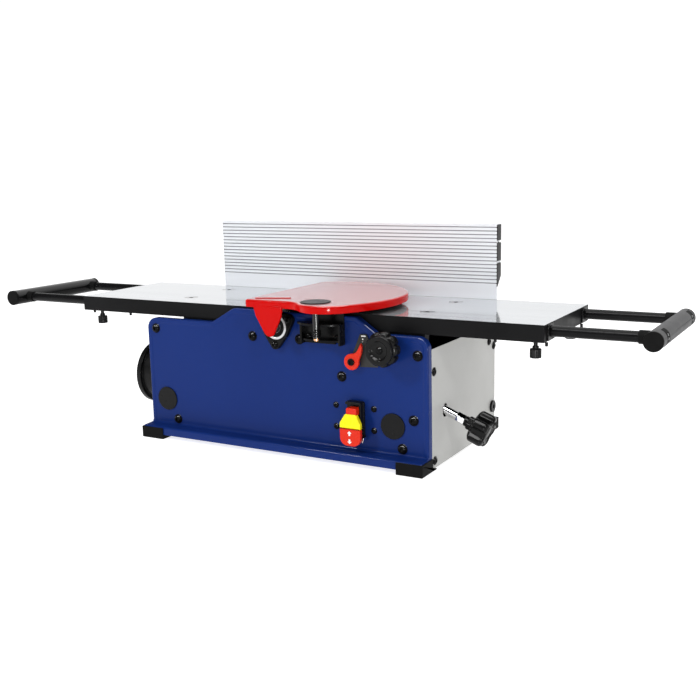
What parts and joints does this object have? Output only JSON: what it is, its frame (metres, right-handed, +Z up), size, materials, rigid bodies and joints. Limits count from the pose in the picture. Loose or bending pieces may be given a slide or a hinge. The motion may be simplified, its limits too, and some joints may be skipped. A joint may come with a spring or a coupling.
{
  "type": "benchtop jointer",
  "caption": "Benchtop wood jointer: box base, two long tables with pull-out support bars, swinging guard, grooved tilting fence, side dust outlet.",
  "frame": {"origin": "centre of the bounding box at bench height", "axes": "+X along the tables to the infeed end, +Y from the operator's side to the back, +Z up"},
  "size_m": [1.1985, 0.433, 0.3523],
  "materials": {
    "blue_paint": "glossy",
    "grey_sheet": "satin",
    "dark_casting": "satin",
    "bar_grey": "satin grey",
    "black_paint": "satin",
    "black_steel": "satin black oxide",
    "rubber": "matte",
    "black_plastic": "satin",
    "table_alloy": "ground top, black painted edges",
    "fence_alloy": "brushed",
    "steel": "machined",
    "chrome": "polished",
    "carbide": "ground",
    "red_paint": "glossy",
    "red_plastic": "gloss",
    "yellow_plastic": "gloss",
    "scale_print": "satin"
  },
  "bodies": {
    "base": {"front_casting": "blue_paint", "rear_casting": "blue_paint", "bottom_pan": "black_paint", "end_panel_right": "grey_sheet", "end_panel_left": "grey_sheet", "rubber_feet": "rubber", "casting_screws": "black_steel", "panel_screws": "black_steel", "hole_plugs": "black_plastic", "bearing_flange": "black_paint", "head_bearings": "steel", "way_frame": "dark_casting", "outfeed_table": "table_alloy", "outfeed_top_screws": "black_steel", "outfeed_tube_clamps": "black_plastic", "guard_bracket": "black_paint", "guard_spring": "steel", "scale_plate": "scale_print", "switch_frame": "black_plastic", "switch_screws": "black_steel", "motor_body": "black_paint", "drive_belt": "rubber", "dust_chute": "black_plastic", "dust_outlet": "black_plastic", "cord_gland": "black_plastic", "fence_pedestal": "black_paint"},
    "cutterhead": {"cutterhead": "steel", "cutter_inserts": "carbide", "head_pulley": "steel"},
    "motor_rotor": {"motor_rotor": "steel"},
    "infeed": {"infeed_table": "table_alloy", "infeed_slide": "dark_casting", "infeed_top_screws": "black_steel", "infeed_tube_clamps": "black_plastic", "depth_pointer": "red_plastic"},
    "depth_screw": {"depth_screw": "chrome", "star_knob": "black_plastic"},
    "lock_knob": {"table_lock_knob": "black_plastic"},
    "infeed_extension": {"infeed_tubes": "black_steel", "infeed_bar_fittings": "black_plastic", "infeed_bar": "bar_grey"},
    "outfeed_extension": {"outfeed_tubes": "black_steel", "outfeed_bar_fittings": "black_plastic", "outfeed_bar": "black_steel"},
    "infeed_knob_a": {"infeed_knob_front": "black_plastic"},
    "infeed_knob_b": {"infeed_knob_rear": "black_plastic"},
    "outfeed_knob_a": {"outfeed_knob_front": "black_plastic"},
    "outfeed_knob_b": {"outfeed_knob_rear": "black_plastic"},
    "guard": {"guard_plate": "red_paint", "guard_cap": "black_plastic"},
    "fence_carriage": {"slide_plate": "black_paint", "tilt_pin": "steel"},
    "fence": {"fence_bar": "fence_alloy", "fence_end_caps": "black_plastic", "fence_bracket": "black_paint", "fence_bolts": "steel"},
    "slide_lock": {"slide_lock_lever": "black_plastic"},
    "tilt_lock": {"tilt_lock_lever": "black_plastic"},
    "switch": {"switch_flap": "yellow_plastic", "switch_paddle": "red_plastic"}
  },
  "joints": [
    {"name": "head_spin", "type": "hinge", "parent": "base", "child": "cutterhead", "pos_m": [0.01025, -0.0335, 0.2045], "axis": [0, 1, 0], "continuous": true},
    {"name": "motor_spin", "type": "hinge", "parent": "base", "child": "motor_rotor", "pos_m": [0.10825, -0.0095, 0.072], "axis": [0, 1, 0], "continuous": true},
    {"name": "table_slide", "type": "slide", "parent": "base", "child": "infeed", "axis": [0.9272, 0, -0.3746], "range_m": [0, 0.0085]},
    {"name": "depth_screw_turn", "type": "hinge", "parent": "base", "child": "depth_screw", "pos_m": [0.27025, -0.092, 0.083], "axis": [0.9272, 0, -0.3746], "range_deg": [0, 1030]},
    {"name": "table_lock_turn", "type": "hinge", "parent": "infeed", "child": "lock_knob", "pos_m": [0.20785, -0.1695, 0.1864], "axis": [0, 1, 0], "range_deg": [0, 180]},
    {"name": "infeed_extension_slide", "type": "slide", "parent": "infeed", "child": "infeed_extension", "axis": [1, 0, 0], "range_m": [-0.115, 0.026]},
    {"name": "outfeed_extension_slide", "type": "slide", "parent": "base", "child": "outfeed_extension", "axis": [-1, 0, 0], "range_m": [-0.141, 0]},
    {"name": "infeed_knob_front_turn", "type": "hinge", "parent": "infeed", "child": "infeed_knob_a", "pos_m": [0.41875, -0.1155, 0.19], "axis": [0, 0, 1], "range_deg": [-360, 0]},
    {"name": "infeed_knob_rear_turn", "type": "hinge", "parent": "infeed", "child": "infeed_knob_b", "pos_m": [0.41875, 0.0485, 0.19], "axis": [0, 0, 1], "range_deg": [-360, 0]},
    {"name": "outfeed_knob_front_turn", "type": "hinge", "parent": "base", "child": "outfeed_knob_a", "pos_m": [-0.39225, -0.1155, 0.19], "axis": [0, 0, 1], "range_deg": [-360, 0]},
    {"name": "outfeed_knob_rear_turn", "type": "hinge", "parent": "base", "child": "outfeed_knob_b", "pos_m": [-0.39225, 0.0485, 0.19], "axis": [0, 0, 1], "range_deg": [-360, 0]},
    {"name": "fence_slide", "type": "slide", "parent": "base", "child": "fence_carriage", "axis": [0, -1, 0], "range_m": [0, 0.08]},
    {"name": "fence_tilt", "type": "hinge", "parent": "fence_carriage", "child": "fence", "pos_m": [0.01325, 0.08, 0.241], "axis": [-1, 0, 0], "range_deg": [0, 45]},
    {"name": "slide_lock_turn", "type": "hinge", "parent": "base", "child": "slide_lock", "pos_m": [0.01325, 0.1225, 0.251], "axis": [0, 0, 1], "range_deg": [-45, 45]},
    {"name": "tilt_lock_turn", "type": "hinge", "parent": "fence_carriage", "child": "tilt_lock", "pos_m": [0.05825, 0.08, 0.241], "axis": [1, 0, 0], "range_deg": [-18, 0]},
    {"name": "guard_swing", "type": "hinge", "parent": "base", "child": "guard", "pos_m": [0.09925, -0.1805, 0.24], "axis": [0, 0, 1], "range_deg": [0, 82], "stiffness_Nm_per_rad": 0.12, "springref_deg": -22.92},
    {"name": "switch_lift", "type": "hinge", "parent": "base", "child": "switch", "pos_m": [0.15175, -0.1605, 0.088], "axis": [-1, 0, 0], "range_deg": [0, 26]}
  ],
  "couplings": [
    {"joint": "motor_spin", "follows": "head_spin", "ratio": 0.6485},
    {"joint": "depth_screw_turn", "follows": "table_slide", "rad_per_m": 2094.4},
    {"joint": "guard_swing", "follows": "fence_slide", "rad_per_m": 17.453}
  ]
}
